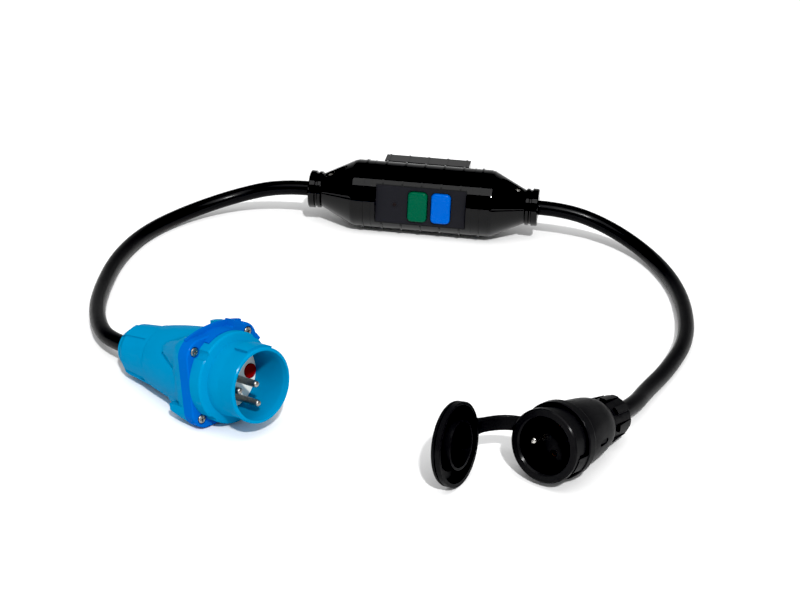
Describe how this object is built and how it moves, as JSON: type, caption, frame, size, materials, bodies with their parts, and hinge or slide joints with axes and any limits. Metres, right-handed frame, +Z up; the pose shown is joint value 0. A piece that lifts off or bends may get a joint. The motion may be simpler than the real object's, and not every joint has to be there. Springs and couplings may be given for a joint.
{
  "type": "rcd extension lead",
  "caption": "Short extension lead with an in-line residual current device, a blue industrial plug and a black household socket with a hinged lid.",
  "frame": {"origin": "on the floor under the middle of the in-line unit", "axes": "+X along the in-line unit towards the socket's cord, -Y the way its label faces, +Z up"},
  "size_m": [0.4815, 0.4936, 0.0708],
  "materials": {
    "black_housing": "polished black moulding",
    "black_plastic": "satin black moulding",
    "black_rubber": "satin black rubber",
    "cord_rubber": "satin black cord sheath",
    "label_grey": "satin dark grey plate",
    "green_plastic": "glossy green moulding",
    "blue_plastic": "glossy blue moulding",
    "lens_red": "dark red lens, unlit",
    "spring_steel": "drawn wire",
    "zinc_steel": "zinc plated",
    "nickel_brass": "nickel plated",
    "brass": "turned brass",
    "board_green": "circuit board",
    "toroid_black": "potted ring core",
    "relay_grey": "moulded case",
    "terminal_white": "moulded block",
    "lead_brown": "insulated wire",
    "light_blue": "semi-gloss light blue moulding",
    "deep_blue": "semi-gloss deep blue moulding",
    "white_plastic": "off-white moulding",
    "red_plastic": "dark red moulding"
  },
  "bodies": {
    "lead": {"front_shell": "black_housing", "rear_shell": "black_housing", "label_panel": "label_grey", "reset_spring": "spring_steel", "test_spring": "spring_steel", "indicator_lens": "lens_red", "circuit_board": "board_green", "sensing_toroid": "toroid_black", "trip_relay": "relay_grey", "left_terminal_block": "terminal_white", "right_terminal_block": "terminal_white", "left_cord_bush": "black_rubber", "right_cord_bush": "black_rubber", "left_cord_clamp": "black_plastic", "right_cord_clamp": "black_plastic", "left_clamp_screws": "zinc_steel", "right_clamp_screws": "zinc_steel", "housing_screws": "zinc_steel", "left_cord_tail": "cord_rubber", "right_cord_tail": "cord_rubber", "inner_leads": "lead_brown", "plug_gland_nut": "light_blue", "plug_cord_seal": "black_rubber", "plug_handle": "light_blue", "plug_gasket": "black_rubber", "plug_flange": "deep_blue", "plug_casing": "light_blue", "plug_insulator": "white_plastic", "plug_earth_pin": "nickel_brass", "plug_line_pin": "nickel_brass", "plug_neutral_pin": "nickel_brass", "plug_coding_disc": "red_plastic", "plug_screws": "zinc_steel", "plug_terminals": "brass", "plug_cord_tail": "cord_rubber", "socket_front": "black_rubber", "socket_rear_body": "black_rubber", "socket_insert": "black_plastic", "socket_lower_contact": "brass", "socket_upper_contact": "brass", "socket_earth_pin": "nickel_brass", "socket_lid_band": "black_rubber", "socket_gland_nut": "black_plastic", "socket_cord_seal": "black_rubber", "socket_cord_tail": "cord_rubber", "lid_strap": "black_rubber", "left_cord": "cord_rubber", "right_cord": "cord_rubber"},
    "reset_button": {"reset_button": "green_plastic"},
    "test_button": {"test_button": "blue_plastic"},
    "lid": {"socket_lid": "black_rubber"}
  },
  "joints": [
    {"name": "reset_press", "type": "slide", "parent": "lead", "child": "reset_button", "axis": [0, 0.9986, -0.0523], "range_m": [0, 0.0022], "stiffness_N_per_m": 400, "deforming": ["reset_spring"]},
    {"name": "test_press", "type": "slide", "parent": "lead", "child": "test_button", "axis": [0, 0.9986, -0.0523], "range_m": [0, 0.0022], "stiffness_N_per_m": 400, "deforming": ["test_spring"]},
    {"name": "lid_swing", "type": "hinge", "parent": "lead", "child": "lid", "pos_m": [0.10017, -0.39696, 0.02267], "axis": [-0.043, 0.2099, 0.9768], "range_deg": [0, 83], "stiffness_Nm_per_rad": 0.02, "deforming": ["lid_strap"]}
  ]
}
